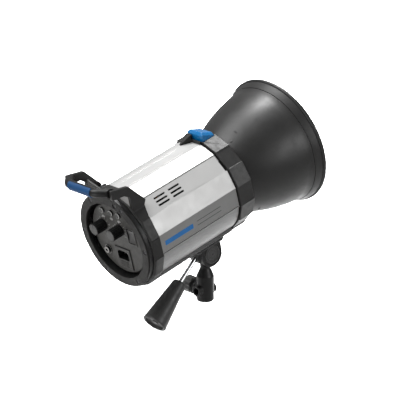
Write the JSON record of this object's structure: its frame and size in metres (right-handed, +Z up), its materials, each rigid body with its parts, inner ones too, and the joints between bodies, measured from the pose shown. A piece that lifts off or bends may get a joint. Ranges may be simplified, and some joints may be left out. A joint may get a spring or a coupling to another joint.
{
  "type": "monolight strobe",
  "caption": "Studio flash head with a faceted metal body, bell reflector, rear control recess, carry handle and a tilting stand bracket with a lever grip.",
  "frame": {"origin": "centre of the stand socket's mouth", "axes": "+Z up along the stand, the lamp points towards +Y and 15 degrees up at rest, the control panel faces -Y"},
  "size_m": [0.18, 0.3669, 0.2996],
  "materials": {
    "white_paint": "satin white powder coat",
    "silver_panel": "satin anodised",
    "label_grey": "matt grey",
    "dark_plastic": "fine spark texture",
    "black_plastic": "fine texture",
    "bezel_grey": "satin",
    "blue_plastic": "gloss",
    "blue_rubber": "soft touch",
    "reflector_metal": "matt outside, bright inside",
    "seal_rubber": "matt",
    "steel": "machined",
    "chrome": "polished",
    "bracket_casting": "black painted casting",
    "grip_plastic": "satin",
    "frosted_glass": "frosted",
    "clear_glass": "clear",
    "ceramic": "unglazed",
    "circuit_board": "solder mask",
    "capacitor_sleeve": "shrink sleeve",
    "winding": "enamelled wire",
    "lens": "clear lens",
    "dark_lens": "dark filter lens",
    "nickel": "nickel plate"
  },
  "bodies": {
    "bracket": {"stand_socket": "bracket_casting", "pivot_bolt": "steel", "friction_washers": "black_plastic"},
    "head": {"bayonet_ring": "steel", "bezel_screws": "steel", "board_posts": "steel", "capacitor_clamp": "silver_panel", "capacitors": "capacitor_sleeve", "chassis_tray": "silver_panel", "cheek_covers": "grip_plastic", "control_board": "circuit_board", "control_panel": "bezel_grey", "edge_rails": "silver_panel", "fan_frame": "black_plastic", "flash_tube": "frosted_glass", "front_collar": "dark_plastic", "front_seal": "seal_rubber", "fuse_drawer": "dark_plastic", "handle_bar": "black_plastic", "handle_grip": "blue_rubber", "indicator_lenses": "lens", "label_bands": "label_grey", "lamp_holder": "ceramic", "lamp_plate": "silver_panel", "latch_ramp": "black_plastic", "lower_shell": "silver_panel", "mains_inlet": "black_plastic", "modelling_lamp": "clear_glass", "panel_dish": "black_plastic", "potentiometers": "steel", "power_board": "circuit_board", "rear_bezel": "bezel_grey", "rear_housing": "dark_plastic", "rocker_frame": "bezel_grey", "side_panel_left": "white_paint", "side_panel_right": "white_paint", "slave_sensor": "dark_lens", "sync_jack": "nickel", "top_cover": "white_paint", "trigger_transformer": "winding", "tube_socket": "ceramic", "yoke": "bracket_casting", "yoke_screws": "steel"},
    "stand_clamp": {"stand_knob": "grip_plastic"},
    "tilt_lever": {"lever_rod": "chrome", "lever_grip": "grip_plastic", "lever_cap": "grip_plastic"},
    "flash_dial": {"flash_knob": "black_plastic", "flash_knob_cap": "bezel_grey"},
    "lamp_dial": {"lamp_knob": "black_plastic", "lamp_knob_cap": "bezel_grey"},
    "test_key": {"test_button": "black_plastic"},
    "sound_key": {"sound_button": "black_plastic"},
    "lamp_key": {"lamp_button": "black_plastic"},
    "power_key": {"power_rocker": "black_plastic"},
    "latch_key": {"latch_button": "blue_plastic"},
    "reflector_body": {"reflector": "reflector_metal", "reflector_neck": "steel"},
    "fan_wheel": {"fan_rotor": "dark_plastic"}
  },
  "joints": [
    {"name": "head_tilt", "type": "hinge", "parent": "bracket", "child": "head", "pos_m": [0, 0, 0.068], "axis": [1, 0, 0], "range_deg": [-85, 18]},
    {"name": "stand_clamp_turn", "type": "hinge", "parent": "bracket", "child": "stand_clamp", "pos_m": [-0.02, 0, 0.015], "axis": [-1, 0, 0], "range_deg": [0, 360]},
    {"name": "tilt_lever_twist", "type": "hinge", "parent": "head", "child": "tilt_lever", "pos_m": [0, -0.017, 0.0636], "axis": [0.105, -0.7688, -0.6308], "range_deg": [0, 120]},
    {"name": "flash_dial_turn", "type": "hinge", "parent": "head", "child": "flash_dial", "pos_m": [-0.025, -0.15933, 0.13329], "axis": [0, -0.9659, -0.2588], "range_deg": [-150, 150]},
    {"name": "lamp_dial_turn", "type": "hinge", "parent": "head", "child": "lamp_dial", "pos_m": [0.0075, -0.15933, 0.13329], "axis": [0, -0.9659, -0.2588], "range_deg": [-150, 150]},
    {"name": "test_key_press", "type": "slide", "parent": "head", "child": "test_key", "axis": [0, 0.9659, 0.2588], "range_m": [0, 0.0012], "stiffness_N_per_m": 400},
    {"name": "sound_key_press", "type": "slide", "parent": "head", "child": "sound_key", "axis": [0, 0.9659, 0.2588], "range_m": [0, 0.0012], "stiffness_N_per_m": 400},
    {"name": "lamp_key_press", "type": "slide", "parent": "head", "child": "lamp_key", "axis": [0, 0.9659, 0.2588], "range_m": [0, 0.0012], "stiffness_N_per_m": 400},
    {"name": "power_rock", "type": "hinge", "parent": "head", "child": "power_key", "pos_m": [0.028, -0.14566, 0.1325], "axis": [1, 0, 0], "range_deg": [-6, 6]},
    {"name": "latch_press", "type": "slide", "parent": "head", "child": "latch_key", "axis": [0, 0.2588, -0.9659], "range_m": [0, 0.002], "stiffness_N_per_m": 1000},
    {"name": "reflector_twist", "type": "hinge", "parent": "head", "child": "reflector_body", "pos_m": [0, 0.01824, 0.16606], "axis": [0, 0.9659, 0.2588], "range_deg": [0, 30]},
    {"name": "fan_spin", "type": "hinge", "parent": "head", "child": "fan_wheel", "pos_m": [0, -0.11126, 0.1355], "axis": [0, 0.9659, 0.2588], "continuous": true}
  ]
}
